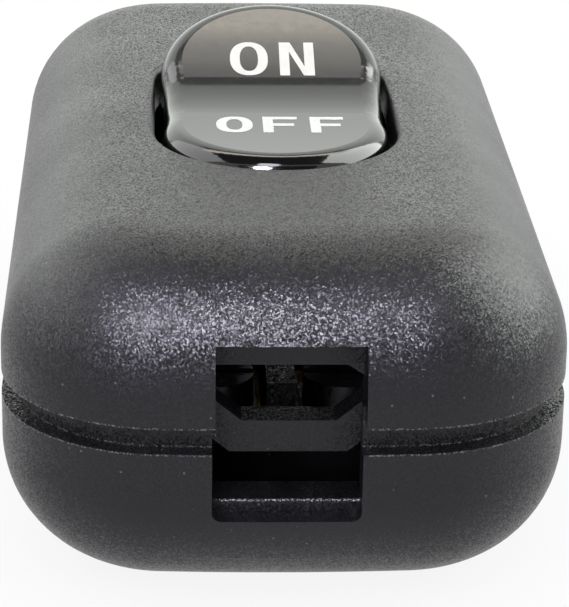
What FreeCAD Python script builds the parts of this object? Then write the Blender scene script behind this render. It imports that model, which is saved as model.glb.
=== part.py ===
import FreeCAD, Part

import math
import os

from FreeCAD import Vector

# Inline cord switch: two moulded half shells with a rocker marked for on and off.
# Millimetres. The base rests on Z = 0 under the origin, X is the width and Y the
# length. The switch is modelled in its off position: the -Y end of the rocker is
# pressed down and both poles are open.

# Housing, outside
body_length = 56.0
body_width = 30.0
body_height = 19.0
corner_radius = 8.7
end_bow = 0.9
top_edge_radius = 7.2
bottom_edge_radius = 6.9
wall = 2.2

# Parting groove, and the rim that registers the two shells
groove_bottom = 9.25
groove_height = 1.35
lip_thickness = 0.85
lip_height = 0.9
lip_clearance = 0.1

# Rocker slot in the top
slot_gap = 0.4
slot_edge_radius = 0.35

# Cord windows, one in each end
window_half_width = 3.83
window_top = 14.9
sill_height = 5.45
sill_depth = 1.37
lower_window_shift = -0.14
lower_window_corner = 0.5
pinch_rib_rise = 0.73
pinch_rib_depth = 2.3
pinch_rib_edge = 0.2

# Sprung strain-relief loop behind each window
loop_setback = 2.6
loop_thickness = 1.8
loop_band = 1.73
loop_hole_bottom = 10.05
loop_hole_top = 13.15
loop_chamfer_width = 1.4
loop_chamfer_height = 1.15
loop_gusset_width = 0.87
loop_gusset_height = 0.57

# Rocker; its length is measured at the height of the pivot, and its ends rake inwards above that
rocker_length = 22.8
lobe_radius = 6.5
waist_draw = 0.15
waist_straight = 1.2
rocker_travel = 20.0
face_height = 4.4
face_dish = 4.0
valley_radius = 16.0
rocker_edge_radius = 1.2
rocker_end_bottom = -0.2
rocker_middle_bottom = -2.4
rocker_skin = 1.3
rocker_web = 2.0
pivot_depth = 4.0
trunnion_radius = 1.5
trunnion_clearance = 0.05
trunnion_end_gap = 0.2
ear_thickness = 2.0
ear_radius = 2.6

# Sprung plungers, one for each pole
plunger_radius = 1.0
plunger_clearance = 0.05
plunger_guide = 2.0
tube_wall = 0.65
tube_length = 4.6
tube_depth = 2.0
spring_wire = 0.35
spring_wire_sides = 6
spring_turns = 3.5
spring_side_gap = 0.08

# Rocking contact blades
blade_width = 4.4
blade_thickness = 0.8
blade_contact_arm = 9.2
blade_foot_arm = 6.5
blade_lift = 0.2
blade_gap = 0.3
ridge_radius = 0.5
ridge_clearance = 0.05
foot_gap = 0.05

# Contact rivets
contact_reach = 8.0
contact_radius = 1.3
contact_thickness = 0.6
contact_dome = 0.15
contact_gap = 0.05
rivet_radius = 0.6
rivet_upset_radius = 0.9
rivet_upset_height = 0.3

# Terminals
terminal_bottom = 4.0
terminal_thickness = 0.8
terminal_end = 15.6
terminal_screw_y = 12.6
cheek_thickness = 0.5
cheek_clearance = 0.15
cheek_half_length = 1.3
cheek_height = 2.0
fixed_terminal_start = 6.4
pivot_terminal_start = 1.6

# Terminal screws and their clamp plates
terminal_screw_radius = 1.4
terminal_screw_length = 3.0
terminal_head_radius = 2.4
terminal_head_height = 1.8
screw_fit = 0.03
driver_slot_width = 0.7
driver_slot_depth = 0.9
clamp_size = 5.0
clamp_thickness = 0.8

# Lower shell, inside
partition_thickness = 1.6
partition_top = 8.4
channel_clearance = 0.1
fence_thickness = 1.0
fence_top = 7.0
bridge_rib_thickness = 1.2
bridge_rib_top = 5.3
end_stop_thickness = 1.0
side_rib_thickness = 1.0
side_rib_pitch = 8.0

# Housing screws, in two opposite corners
housing_screw_side_margin = 6.2
housing_screw_end_margin = 7.6
housing_screw_radius = 1.42
housing_screw_length = 11.0
housing_head_radius = 2.7
housing_head_height = 1.8
head_clearance = 0.2
counterbore_top = 3.4
shank_hole_clearance = 0.25
pilot_extra_depth = 0.8
lower_boss_radius = 3.9
upper_boss_radius = 3.3
boss_joint_height = 9.0

# Room that a cutting tool runs past the face that it cuts
overcut = 1.0

# Two heights or lengths closer than this are taken as equal
closeness = 0.001

# Worked out from the sizes above
half_length = body_length / 2
half_width = body_width / 2
groove_top = groove_bottom + groove_height
seat_height = groove_top + lip_height
ceiling = body_height - wall
rim_inset = lip_thickness + lip_clearance
pivot_height = body_height - pivot_depth
half_travel = rocker_travel / 2
travel = math.radians(rocker_travel)
tilt = math.radians(half_travel)
rocker_reach = rocker_length / 2 * math.cos(tilt)
raised_reach = (rocker_reach - (ceiling - pivot_height) * math.sin(travel)) / math.cos(travel)
slot_half_width = lobe_radius + slot_gap
slot_length = 2 * (max(rocker_reach, raised_reach) + slot_gap)
terminal_top = terminal_bottom + terminal_thickness
fixed_contact_top = terminal_top + contact_thickness
closed_underside = fixed_contact_top + contact_gap + contact_thickness
blade_pivot_height = closed_underside - blade_lift
plunger_tip = closed_underside + blade_thickness + blade_gap
plunger_reach = (pivot_height - plunger_tip) / math.cos(tilt)
terminal_half_width = blade_width / 2 + cheek_clearance + cheek_thickness
pole_x = partition_thickness / 2 + channel_clearance + terminal_half_width
fence_inner = pole_x + terminal_half_width + channel_clearance
terminal_stop = terminal_end + channel_clearance
clamp_bottom = terminal_top
head_bottom = clamp_bottom + clamp_thickness
tube_radius = plunger_radius + plunger_clearance + tube_wall
loop_front = half_length - loop_setback
housing_screw_x = half_width - housing_screw_side_margin
housing_screw_y = half_length - housing_screw_end_margin
poles = {"left": -pole_x, "right": pole_x}


def box(x_low, x_high, y_low, y_high, z_low, z_high):
    """A block between two opposite corners."""
    size = Vector(x_high - x_low, y_high - y_low, z_high - z_low)
    return Part.makeBox(size.x, size.y, size.z, Vector(x_low, y_low, z_low))


def post(radius, x, y, z_low, z_high):
    """An upright round post."""
    return Part.makeCylinder(radius, z_high - z_low, Vector(x, y, z_low))


def cross_bar(radius, x_low, x_high, y, z):
    """A round bar along X."""
    return Part.makeCylinder(radius, x_high - x_low, Vector(x_low, y, z), Vector(1, 0, 0))


def line(start, end):
    """A straight edge."""
    return Part.LineSegment(start, end).toShape()


def arc(start, middle, end):
    """A round edge through three points."""
    return Part.Arc(start, middle, end).toShape()


def slab(edges, direction):
    """A closed outline carried along a direction."""
    return Part.Face(Part.Wire(edges)).extrude(direction)


def slab_from_points(points, direction):
    """A straight-sided outline carried along a direction."""
    return Part.Face(Part.makePolygon(points + [points[0]])).extrude(direction)


def end_for_end(shape):
    """The same shape at the other end, turned half a turn about the upright axis."""
    turned = shape.copy()
    turned.rotate(Vector(0, 0, 0), Vector(0, 0, 1), 180)
    return turned


def tipped(shape, height, degrees):
    """A shape turned about a cross axis at the given height."""
    turned = shape.copy()
    turned.rotate(Vector(0, 0, height), Vector(1, 0, 0), degrees)
    return turned


def plan_edges(inset, z):
    """The housing's plan: straight sides, round corners and bowed ends, drawn inwards.

    The end arc and the corner arcs are tangent, and they keep their centres when the
    outline is drawn inwards, so the wall is even all round.
    """
    end_radius = (half_width ** 2 + end_bow ** 2) / (2 * end_bow)
    end_centre = half_length - end_radius
    corner_x = half_width - corner_radius
    corner_y = end_centre + math.sqrt((end_radius - corner_radius) ** 2 - corner_x ** 2)
    spread = math.atan2(corner_x, corner_y - end_centre)
    radius = corner_radius - inset
    side = half_width - inset
    reach = end_radius - inset
    tangent_x = reach * math.sin(spread)
    tangent_y = end_centre + reach * math.cos(spread)
    middle = (math.pi / 2 - spread) / 2
    bend_x = corner_x + radius * math.cos(middle)
    bend_y = corner_y + radius * math.sin(middle)
    edges = []
    for way in (1, -1):
        edges.append(line(Vector(way * side, -way * corner_y, z), Vector(way * side, way * corner_y, z)))
        edges.append(arc(Vector(way * side, way * corner_y, z),
                         Vector(way * bend_x, way * bend_y, z),
                         Vector(way * tangent_x, way * tangent_y, z)))
        edges.append(arc(Vector(way * tangent_x, way * tangent_y, z),
                         Vector(0, way * (half_length - inset), z),
                         Vector(-way * tangent_x, way * tangent_y, z)))
        edges.append(arc(Vector(-way * tangent_x, way * tangent_y, z),
                         Vector(-way * bend_x, way * bend_y, z),
                         Vector(-way * side, way * corner_y, z)))
    return edges


def plan_prism(inset, z_low, z_high):
    """An upright prism on the housing's plan."""
    return slab(plan_edges(inset, z_low), Vector(0, 0, z_high - z_low))


def level_edges(shape, z):
    """The edges of a shape that lie flat at one height."""
    flat = []
    for edge in shape.Edges:
        bounds = edge.BoundBox
        if abs(bounds.ZMin - z) < closeness and abs(bounds.ZMax - z) < closeness:
            flat.append(edge)
    return flat


def housing_block():
    """The outside of the whole housing, rounded along its upper and lower edges."""
    block = plan_prism(0.0, 0.0, body_height)
    block = block.makeFillet(top_edge_radius, level_edges(block, body_height))
    return block.makeFillet(bottom_edge_radius, level_edges(block, 0.0))


def housing_cavity():
    """The room inside, one wall in from the outside.

    Flats stand in for the roundings of its edges. The middle of each flat touches the
    rounding that would be concentric with the outside.
    """
    touch = 2 - math.sqrt(2)
    cavity = plan_prism(wall, wall, ceiling)
    cavity = cavity.makeChamfer((top_edge_radius - wall) * touch, level_edges(cavity, ceiling))
    return cavity.makeChamfer((bottom_edge_radius - wall) * touch, level_edges(cavity, wall))


outer_block = housing_block()
cavity_block = housing_cavity()


def slot_prism(half_wide, long, z_low, z_high):
    """A prism with straight sides and round ends."""
    centre = long / 2 - half_wide
    edges = []
    for way in (1, -1):
        edges.append(line(Vector(way * half_wide, -way * centre, z_low),
                          Vector(way * half_wide, way * centre, z_low)))
        edges.append(arc(Vector(way * half_wide, way * centre, z_low),
                         Vector(0, way * (centre + half_wide), z_low),
                         Vector(-way * half_wide, way * centre, z_low)))
    return slab(edges, Vector(0, 0, z_high - z_low))


def loop_profile():
    """The strain-relief loop seen from the end: an octagonal ring that hangs from the ceiling.

    The lower corners of the ring run parallel to those of its hole, one band away.
    """
    slope = math.atan2(loop_chamfer_height, loop_chamfer_width)
    half_out = window_half_width + loop_band
    hole_turn_x = window_half_width - loop_chamfer_width
    hole_turn_z = loop_hole_bottom + loop_chamfer_height
    ring_turn_x = hole_turn_x + loop_band * math.tan(slope / 2)
    ring_turn_z = hole_turn_z - loop_band * math.tan((math.pi / 2 - slope) / 2)
    ring_bottom = loop_hole_bottom - loop_band
    y = -loop_front
    ring = [
        Vector(-half_out, y, ceiling),
        Vector(-half_out, y, ring_turn_z),
        Vector(-ring_turn_x, y, ring_bottom),
        Vector(ring_turn_x, y, ring_bottom),
        Vector(half_out, y, ring_turn_z),
        Vector(half_out, y, ceiling),
    ]
    hole = [
        Vector(-window_half_width, y, loop_hole_top),
        Vector(-window_half_width, y, hole_turn_z),
        Vector(-hole_turn_x, y, loop_hole_bottom),
        Vector(hole_turn_x, y, loop_hole_bottom),
        Vector(window_half_width, y, hole_turn_z),
        Vector(window_half_width, y, loop_hole_top - loop_gusset_height),
        Vector(window_half_width - loop_gusset_width, y, loop_hole_top),
    ]
    return ring, hole


def strain_relief_loop():
    """One sprung loop, cut from a flat tongue of the upper shell."""
    ring, hole = loop_profile()
    along = Vector(0, loop_thickness, 0)
    return slab_from_points(ring, along).cut(slab_from_points(hole, along)).common(outer_block)


def bearing_ears():
    """Two ears beside the slot that carry the rocker's trunnions."""
    ears = []
    for side in (-1, 1):
        inner = side * slot_half_width
        outer = side * (slot_half_width + ear_thickness)
        low, high = sorted((inner, outer))
        round_end = cross_bar(ear_radius, low, high, 0, pivot_height)
        hanger = box(low, high, -ear_radius, ear_radius, pivot_height, ceiling + wall / 2)
        ears.append(round_end.fuse(hanger).common(outer_block))
    return ears


def housing_screw_spots():
    """The two corners that hold a screw, one at each end."""
    return {"front": (housing_screw_x, -housing_screw_y), "rear": (-housing_screw_x, housing_screw_y)}


def upper_shell():
    """Top moulding: slot, cord windows, strain-relief loops, bearing ears and screw bosses."""
    reach = half_length + overcut
    above = box(-reach, reach, -reach, reach, groove_top, body_height + overcut)
    shell = outer_block.common(above).cut(cavity_block)
    shell = shell.cut(plan_prism(lip_thickness, groove_top - overcut, seat_height))
    shell = shell.cut(slot_prism(slot_half_width, slot_length, ceiling - overcut, body_height + overcut))
    slot_rim = []
    for edge in level_edges(shell, body_height):
        centre = edge.CenterOfMass
        if abs(centre.x) < slot_half_width + closeness and abs(centre.y) < slot_length / 2:
            slot_rim.append(edge)
    shell = shell.makeFillet(slot_edge_radius, slot_rim)
    window = box(-window_half_width, window_half_width, -reach, -loop_front,
                 groove_top - overcut, window_top)
    loop = strain_relief_loop()
    for end_part in (window, end_for_end(window)):
        shell = shell.cut(end_part)
    additions = [loop, end_for_end(loop)] + bearing_ears()
    for x, y in housing_screw_spots().values():
        additions.append(post(upper_boss_radius, x, y, boss_joint_height, ceiling).common(outer_block))
    shell = shell.fuse(additions)
    ear_face = slot_half_width + ear_thickness
    shell = shell.cut(cross_bar(trunnion_radius + trunnion_clearance, -ear_face, ear_face, 0, pivot_height))
    pilot_top = counterbore_top + housing_screw_length + pilot_extra_depth
    for x, y in housing_screw_spots().values():
        pilot = post(housing_screw_radius + screw_fit, x, y, boss_joint_height - overcut, pilot_top)
        shell = shell.cut(pilot)
    return shell.removeSplitter()


def terminal_channel(side):
    """Plinths, fence and stops that hold the two terminals of one pole in the lower shell."""
    centre = side * pole_x
    inner = side * partition_thickness / 2
    outer = side * fence_inner
    low, high = sorted((inner, outer))
    fence_low, fence_high = sorted((outer, outer + side * fence_thickness))
    base = wall - overcut
    length = terminal_stop + end_stop_thickness
    pieces = [
        box(low, high, -terminal_stop, -fixed_terminal_start + channel_clearance, base, terminal_bottom),
        box(low, high, -pivot_terminal_start - channel_clearance, terminal_stop, base, terminal_bottom),
        box(fence_low, fence_high, -length, length, base, fence_top),
        box(low, high, -length, -terminal_stop, base, terminal_top),
        box(low, high, terminal_stop, length, base, terminal_top),
    ]
    rib_y = -(fixed_terminal_start + pivot_terminal_start) / 2
    half_rib = bridge_rib_thickness / 2
    pieces.append(box(low, high, rib_y - half_rib, rib_y + half_rib, base, bridge_rib_top))
    pockets = []
    for y in (-terminal_screw_y, terminal_screw_y):
        pocket_radius = terminal_screw_radius + shank_hole_clearance
        pockets.append(post(pocket_radius, centre, y, wall, terminal_bottom + overcut))
    rivet_room = rivet_upset_radius + shank_hole_clearance
    rivet_floor = terminal_bottom - rivet_upset_height - channel_clearance
    pockets.append(post(rivet_room, centre, -contact_reach, rivet_floor, terminal_bottom + overcut))
    return pieces, pockets


def screw_bosses():
    """The lower screw bosses, trimmed where they would reach into a terminal's channel."""
    channels = box(-fence_inner, fence_inner, -terminal_stop, terminal_stop, terminal_bottom, seat_height)
    bosses = []
    for x, y in housing_screw_spots().values():
        boss = post(lower_boss_radius, x, y, 0, boss_joint_height)
        bosses.append(boss.common(outer_block).cut(channels))
    return bosses


def side_ribs(side):
    """Short ribs between the fence and the side wall."""
    inner = side * (fence_inner + fence_thickness / 2)
    outer = side * (half_width - wall / 2)
    low, high = sorted((inner, outer))
    half_rib = side_rib_thickness / 2
    ribs = []
    for step in (-1, 0, 1):
        y = step * side_rib_pitch
        rib = box(low, high, y - half_rib, y + half_rib, wall / 2, fence_top)
        ribs.append(rib.common(outer_block))
    return ribs


def lower_window():
    """The cord window in one end of the lower shell, with rounded sill corners."""
    left = -window_half_width + lower_window_shift
    right = window_half_width + lower_window_shift
    cut = box(left, right, -half_length - overcut, -loop_front + overcut / 2,
              sill_height, seat_height + overcut)
    corners = []
    for edge in cut.Edges:
        bounds = edge.BoundBox
        if bounds.ZMax < sill_height + closeness and bounds.YLength > closeness:
            corners.append(edge)
    return cut.makeFillet(lower_window_corner, corners)


def pinch_rib():
    """The rib behind the sill that the cord is pressed against."""
    left = -window_half_width + lower_window_shift
    right = window_half_width + lower_window_shift
    front = -half_length + sill_depth
    rib = box(left, right, front, front + pinch_rib_depth, wall / 2, sill_height + pinch_rib_rise)
    crest = []
    for edge in level_edges(rib, sill_height + pinch_rib_rise):
        if edge.BoundBox.XLength > closeness:
            crest.append(edge)
    return rib.makeFillet(pinch_rib_edge, crest).common(outer_block)


def lower_shell():
    """Bottom moulding: register rim, sills, terminal channels, ribs and screw bosses."""
    reach = half_length + overcut
    below = box(-reach, reach, -reach, reach, -overcut, groove_bottom)
    shell = outer_block.common(below).cut(cavity_block)
    rim = plan_prism(rim_inset, groove_bottom - overcut, seat_height)
    rim = rim.cut(plan_prism(wall, groove_bottom - 2 * overcut, seat_height + overcut))
    shell = shell.fuse(rim)
    window = lower_window()
    shell = shell.cut([window, end_for_end(window)])
    rib = pinch_rib()
    half_partition = partition_thickness / 2
    length = terminal_stop + end_stop_thickness
    additions = [
        rib,
        end_for_end(rib),
        box(-half_partition, half_partition, -length, length, wall - overcut, partition_top),
    ]
    additions.extend(screw_bosses())
    cuts = []
    for side in (-1, 1):
        pieces, pockets = terminal_channel(side)
        additions.extend(pieces)
        additions.extend(side_ribs(side))
        cuts.extend(pockets)
    for x, y in housing_screw_spots().values():
        cuts.append(post(housing_head_radius + head_clearance, x, y, -overcut, counterbore_top))
        cuts.append(post(housing_screw_radius + shank_hole_clearance, x, y, 0, boss_joint_height + overcut))
    shell = shell.fuse(additions)
    shell = shell.cut(cuts)
    return shell.removeSplitter()


def rocker_profile(height, half_long, middle_bottom, end_bottom):
    """The rocker seen from the side, about its pivot: two dished faces and a rounded valley.

    Each face leaves the valley a little flatter than the tilt and ends a little steeper, and
    the two arcs are tangent where they meet.
    """
    lift = valley_radius * (1 / math.cos(tilt) - 1)
    valley_z = height / math.cos(tilt) + lift
    low_slope = tilt - math.radians(face_dish) / 2
    end_slope = tilt + math.radians(face_dish) / 2
    turn_y = valley_radius * math.sin(low_slope)
    turn_z = valley_z + valley_radius * (1 - math.cos(low_slope))
    dish_radius = (half_long - turn_y) / (math.sin(end_slope) - math.sin(low_slope))
    middle_y = turn_y + dish_radius * (math.sin(tilt) - math.sin(low_slope))
    middle_z = turn_z + dish_radius * (math.cos(low_slope) - math.cos(tilt))
    end_z = turn_z + dish_radius * (math.cos(low_slope) - math.cos(end_slope))
    x = -half_width
    base = pivot_height
    return [
        line(Vector(x, -half_long, base + end_bottom), Vector(x, -half_long, base + end_z)),
        arc(Vector(x, -half_long, base + end_z),
            Vector(x, -middle_y, base + middle_z),
            Vector(x, -turn_y, base + turn_z)),
        arc(Vector(x, -turn_y, base + turn_z),
            Vector(x, 0, base + valley_z),
            Vector(x, turn_y, base + turn_z)),
        arc(Vector(x, turn_y, base + turn_z),
            Vector(x, middle_y, base + middle_z),
            Vector(x, half_long, base + end_z)),
        line(Vector(x, half_long, base + end_z), Vector(x, half_long, base + end_bottom)),
        arc(Vector(x, half_long, base + end_bottom),
            Vector(x, 0, base + middle_bottom),
            Vector(x, -half_long, base + end_bottom)),
    ]


def rocker_outline(inset):
    """Two round lobes joined by a gently drawn-in waist, as seen square to one face.

    A straight run at the waist and a wide bend lead into each lobe. The bend is tangent
    to both, and all the arcs keep their centres when the outline is drawn inwards.
    """
    radius = lobe_radius - inset
    waist = radius - waist_draw
    centre = rocker_reach - lobe_radius
    run = centre - waist_straight
    bend = run ** 2 / (2 * waist_draw) - (radius + waist) / 2
    share = radius / (radius + bend)
    join_x = (waist + bend) * share
    join_y = centre - run * share
    half_sweep = math.atan2(run, waist + bend) / 2
    bend_x = waist + bend * (1 - math.cos(half_sweep))
    bend_y = waist_straight + bend * math.sin(half_sweep)
    z = pivot_height - rocker_reach
    edges = []
    for way in (1, -1):
        edges.append(line(Vector(way * waist, -way * waist_straight, z),
                          Vector(way * waist, way * waist_straight, z)))
        edges.append(arc(Vector(way * waist, way * waist_straight, z),
                         Vector(way * bend_x, way * bend_y, z),
                         Vector(way * join_x, way * join_y, z)))
        edges.append(arc(Vector(way * join_x, way * join_y, z),
                         Vector(0, way * (centre + radius), z),
                         Vector(-way * join_x, way * join_y, z)))
        edges.append(arc(Vector(-way * join_x, way * join_y, z),
                         Vector(-way * bend_x, way * bend_y, z),
                         Vector(-way * waist, way * waist_straight, z)))
    return edges


def rocker_flanks(inset):
    """The rocker's flanks: each half of the outline is carried square to its own face."""
    reach = rocker_length
    upright = slab(rocker_outline(inset), Vector(0, 0, 2 * rocker_reach))
    half_space = box(-reach, reach, 0, reach, pivot_height - reach, pivot_height + reach)
    rear = tipped(upright, pivot_height, half_travel).common(half_space)
    return rear.fuse(end_for_end(rear)).removeSplitter()


def rocker():
    """The hollow rocker with its trunnions and the two tubes that hold the plungers."""
    across = Vector(body_width, 0, 0)
    half_long = rocker_length / 2 + overcut
    outside = rocker_profile(face_height, half_long, rocker_middle_bottom, rocker_end_bottom)
    block = slab(outside, across).common(rocker_flanks(0.0))
    crest = []
    for edge in block.Edges:
        bounds = edge.BoundBox
        if bounds.ZMin > pivot_height + face_height / 2 and bounds.YLength > closeness:
            crest.append(edge)
    block = block.makeFillet(rocker_edge_radius, crest)
    hollow_low = -rocker_reach / 2
    inside = rocker_profile(face_height - rocker_skin, half_long, hollow_low, hollow_low + overcut)
    body = block.cut(slab(inside, across).common(rocker_flanks(rocker_skin)))
    roof = pivot_height + face_height - rocker_skin / 2
    web_half_width = lobe_radius - waist_draw - rocker_skin / 2
    web = box(-web_half_width, web_half_width, -rocker_web / 2, rocker_web / 2,
              pivot_height + rocker_middle_bottom, roof)
    trunnion_reach = slot_half_width + ear_thickness - trunnion_end_gap
    additions = [web, cross_bar(trunnion_radius, -trunnion_reach, trunnion_reach, 0, pivot_height)]
    cuts = []
    for x in poles.values():
        additions.append(post(tube_radius, x, 0, pivot_height - tube_length, roof))
        bore_top = pivot_height + tube_depth
        bore_low = pivot_height - tube_length - overcut
        cuts.append(post(plunger_radius + plunger_clearance, x, 0, bore_low, bore_top))
    body = body.fuse(additions)
    body = body.cut(cuts)
    return tipped(body.removeSplitter(), pivot_height, half_travel)


def plunger(x):
    """A round-nosed pin that slides in its tube."""
    nose = pivot_height - plunger_reach + plunger_radius
    top = pivot_height - tube_length + plunger_guide
    pin = post(plunger_radius, x, 0, nose, top).fuse(Part.makeSphere(plunger_radius, Vector(x, 0, nose)))
    return tipped(pin.removeSplitter(), pivot_height, half_travel)


def plunger_spring(x):
    """The coil between the plunger and the closed end of its tube, of wire drawn with flats."""
    low = pivot_height - tube_length + plunger_guide
    high = pivot_height + tube_depth
    coil_radius = plunger_radius - spring_side_gap - spring_wire / 2
    rise = high - low - spring_wire
    helix = Part.makeHelix(rise / spring_turns, rise, coil_radius)
    corners = []
    for corner in range(spring_wire_sides + 1):
        angle = 2 * math.pi * corner / spring_wire_sides
        across = coil_radius + spring_wire / 2 * math.cos(angle)
        corners.append(Vector(across, 0, spring_wire / 2 * math.sin(angle)))
    section = Part.makePolygon(corners)
    coil = Part.Wire(helix.Edges).makePipeShell([section], True, True)
    coil = coil if coil.ShapeType == "Solid" else Part.Solid(coil)
    coil.translate(Vector(x, 0, low + spring_wire / 2))
    return tipped(coil, pivot_height, half_travel)


def blade(x):
    """A shallow V of strip that rocks on the ridge, with a foot turned down at one end."""
    outward = math.cos(tilt)
    upward = math.sin(tilt)
    under = blade_lift
    over = blade_lift + blade_thickness
    foot_drop = closed_underside - terminal_top - foot_gap

    def on_arm(side, along, rise):
        """A point along one arm and square to it."""
        return Vector(x - blade_width / 2,
                      side * (along * outward - rise * upward),
                      blade_pivot_height + along * upward + rise * outward)

    points = [
        Vector(x - blade_width / 2, 0, blade_pivot_height + under / outward),
        on_arm(1, blade_foot_arm - blade_thickness, under),
        on_arm(1, blade_foot_arm - blade_thickness, under - foot_drop),
        on_arm(1, blade_foot_arm, under - foot_drop),
        on_arm(1, blade_foot_arm, over),
        Vector(x - blade_width / 2, 0, blade_pivot_height + over / outward),
        on_arm(-1, blade_contact_arm, over),
        on_arm(-1, blade_contact_arm, under),
    ]
    strip = slab_from_points(points, Vector(blade_width, 0, 0))
    seat = cross_bar(ridge_radius + ridge_clearance, x - blade_width, x + blade_width, 0, blade_pivot_height)
    strip = strip.cut(seat)
    strip = tipped(strip, blade_pivot_height, half_travel)
    hole = post(rivet_radius, x, -contact_reach, 0, body_height)
    strip = strip.cut(hole)
    return tipped(strip, blade_pivot_height, -rocker_travel)


def contact_head(x, y, face, back):
    """The slightly domed head of a contact rivet, from its face to the strip behind it."""
    way = 1 if back > face else -1
    rim = face + way * contact_dome
    low, high = sorted((rim, back))
    disc = post(contact_radius, x, y, low, high)
    dome_radius = (contact_radius ** 2 + contact_dome ** 2) / (2 * contact_dome)
    dome = Part.makeSphere(dome_radius, Vector(x, y, face + way * dome_radius))
    dome_low, dome_high = sorted((face, rim))
    return disc.fuse(dome.common(post(contact_radius, x, y, dome_low, dome_high)))


def moving_contact(x):
    """The rivet on the blade, shown with the blade's far end lifted clear."""
    top = closed_underside + blade_thickness
    rivet = contact_head(x, -contact_reach, closed_underside - contact_thickness, closed_underside)
    shank = post(rivet_radius, x, -contact_reach, closed_underside, top)
    upset = post(rivet_upset_radius, x, -contact_reach, top, top + rivet_upset_height)
    rivet = rivet.fuse([shank, upset]).removeSplitter()
    return tipped(rivet, blade_pivot_height, -rocker_travel)


def fixed_contact(x):
    """The rivet on the fixed terminal."""
    rivet = contact_head(x, -contact_reach, fixed_contact_top, terminal_top)
    shank = post(rivet_radius, x, -contact_reach, terminal_bottom, terminal_top)
    upset_low = terminal_bottom - rivet_upset_height
    upset = post(rivet_upset_radius, x, -contact_reach, upset_low, terminal_bottom)
    return rivet.fuse([shank, upset]).removeSplitter()


def fixed_terminal(x):
    """Brass strip with a rivet hole and a tapped hole for its screw."""
    strip = box(x - terminal_half_width, x + terminal_half_width,
                -terminal_end, -fixed_terminal_start, terminal_bottom, terminal_top)
    strip = strip.cut(post(rivet_radius, x, -contact_reach, 0, body_height))
    return strip.cut(post(terminal_screw_radius + screw_fit, x, -terminal_screw_y, 0, body_height))


def pivot_terminal(x):
    """Brass strip with the ridge that the blade rocks on and cheeks that keep it in line."""
    left = x - terminal_half_width
    right = x + terminal_half_width
    strip = box(left, right, -pivot_terminal_start, terminal_end, terminal_bottom, terminal_top)
    strip = strip.cut(post(terminal_screw_radius + screw_fit, x, terminal_screw_y, 0, body_height))
    ridge = box(left, right, -ridge_radius, ridge_radius, terminal_top, blade_pivot_height)
    crest = cross_bar(ridge_radius, left, right, 0, blade_pivot_height)
    cheeks = []
    for low in (left, right - cheek_thickness):
        cheeks.append(box(low, low + cheek_thickness, -cheek_half_length, cheek_half_length,
                          terminal_top, terminal_top + cheek_height))
    return strip.fuse([ridge, crest] + cheeks).removeSplitter()


def slotted_screw(radius, length, head_radius, head_height, x, y, seat, way):
    """A screw with a slotted cheese head; its head stands off the seat in the given way."""
    tip = seat - way * length
    crown = seat + way * head_height
    shank_low, shank_high = sorted((tip, seat))
    head_low, head_high = sorted((seat, crown))
    head = post(head_radius, x, y, head_low, head_high)
    slot_low, slot_high = sorted((crown - way * driver_slot_depth, crown + way * overcut))
    slot = box(x - 2 * head_radius, x + 2 * head_radius,
               y - driver_slot_width / 2, y + driver_slot_width / 2, slot_low, slot_high)
    return head.cut(slot).fuse(post(radius, x, y, shank_low, shank_high)).removeSplitter()


def terminal_screw(x, y):
    """The screw that clamps a conductor under its plate."""
    return slotted_screw(terminal_screw_radius, terminal_screw_length, terminal_head_radius,
                         terminal_head_height, x, y, head_bottom, 1)


def housing_screw(x, y):
    """The self-tapping screw that closes the housing from below."""
    return slotted_screw(housing_screw_radius, housing_screw_length, housing_head_radius,
                         housing_head_height, x, y, counterbore_top, -1)


def clamp_plate(x, y):
    """A square plate under the screw's head, with a clearance hole."""
    half = clamp_size / 2
    plate = box(x - half, x + half, y - half, y + half, clamp_bottom, head_bottom)
    plate = plate.cut(post(terminal_screw_radius + shank_hole_clearance, x, y, 0, body_height))
    return plate


parts = {
    "upper_shell": upper_shell(),
    "lower_shell": lower_shell(),
    "rocker": rocker(),
}
for name, x in poles.items():
    parts["plunger_" + name] = plunger(x)
    parts["plunger_spring_" + name] = plunger_spring(x)
    parts["contact_blade_" + name] = blade(x)
    parts["moving_contact_" + name] = moving_contact(x)
    parts["fixed_contact_" + name] = fixed_contact(x)
    parts["fixed_terminal_" + name] = fixed_terminal(x)
    parts["pivot_terminal_" + name] = pivot_terminal(x)
    for end, y in {"front": -terminal_screw_y, "rear": terminal_screw_y}.items():
        parts["terminal_screw_" + name + "_" + end] = terminal_screw(x, y)
        parts["clamp_plate_" + name + "_" + end] = clamp_plate(x, y)
for end, spot in housing_screw_spots().items():
    parts["housing_screw_" + end] = housing_screw(*spot)

os.makedirs("parts", exist_ok=True)
for name, shape in parts.items():
    shape.exportStep("parts/" + name + ".step")
    print(name, shape.isValid(), len(shape.Solids), round(shape.Volume, 2))
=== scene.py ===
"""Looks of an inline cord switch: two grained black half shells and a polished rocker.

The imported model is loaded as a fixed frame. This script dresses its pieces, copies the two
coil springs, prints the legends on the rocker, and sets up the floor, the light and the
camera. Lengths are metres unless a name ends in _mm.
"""
import logging
import math
from collections.abc import Iterable
from dataclasses import dataclass, field
from enum import Enum

import bmesh
import bpy
import numpy as np
from mathutils import Matrix, Vector

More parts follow.
